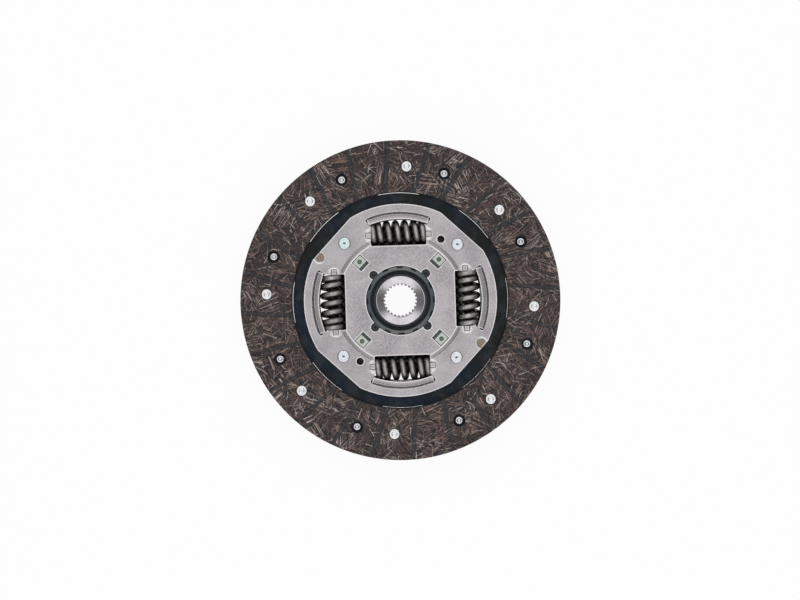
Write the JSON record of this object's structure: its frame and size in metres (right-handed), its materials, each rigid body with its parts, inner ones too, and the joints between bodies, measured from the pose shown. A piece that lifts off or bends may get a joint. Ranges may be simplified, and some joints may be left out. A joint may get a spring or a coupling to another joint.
{
  "type": "clutch disc",
  "caption": "Round friction clutch disc with riveted linings, sprung damper plates and a splined hub that turns against coil springs.",
  "frame": {"origin": "on the hub's axis, in the middle of the carrier plate's thickness, which is the middle of the two linings", "axes": "+Z along the hub's axis, out of the front face; +X and +Y each through the middle of a damper spring"},
  "size_m": [0.2, 0.2, 0.024],
  "materials": {
    "friction_lining": "matt moulded friction material with brown and brass fibres",
    "blued_steel": "blue-black satin spring steel",
    "rivet_metal": "bright rivet metal",
    "bare_plate": "bare pressed steel, satin",
    "zinc_steel": "bright zinc-plated steel",
    "hub_steel": "turned and machined steel",
    "dark_bush": "dark moulded plastic",
    "washer_plastic": "pale green-grey moulded plastic",
    "ring_steel": "dull sheet steel",
    "spring_steel": "dark oiled spring steel"
  },
  "bodies": {
    "hub": {"hub": "hub_steel"},
    "disc": {"front_lining": "friction_lining", "back_lining": "friction_lining", "carrier_plate": "blued_steel", "front_lining_rivets": "rivet_metal", "back_lining_rivets": "rivet_metal", "front_plate": "bare_plate", "back_plate": "bare_plate", "stop_rivets": "zinc_steel", "front_bush": "dark_bush", "friction_washer": "washer_plastic", "back_friction_ring": "dark_bush", "pressure_ring": "ring_steel", "cone_washer": "ring_steel"},
    "springs": {"spring_right": "spring_steel", "spring_top": "spring_steel", "spring_left": "spring_steel", "spring_bottom": "spring_steel"}
  },
  "joints": [
    {"name": "disc_turn", "type": "hinge", "parent": "hub", "child": "disc", "pos_m": [0, 0, 0], "axis": [0, 0, 1], "range_deg": [-7.5, 12], "stiffness_Nm_per_rad": 600, "deforming": ["spring_right", "spring_top", "spring_left", "spring_bottom"]},
    {"name": "springs_turn", "type": "hinge", "parent": "hub", "child": "springs", "pos_m": [0, 0, 0], "axis": [0, 0, 1], "range_deg": [-3.75, 6]}
  ],
  "couplings": [
    {"joint": "springs_turn", "follows": "disc_turn", "ratio": 0.5}
  ]
}
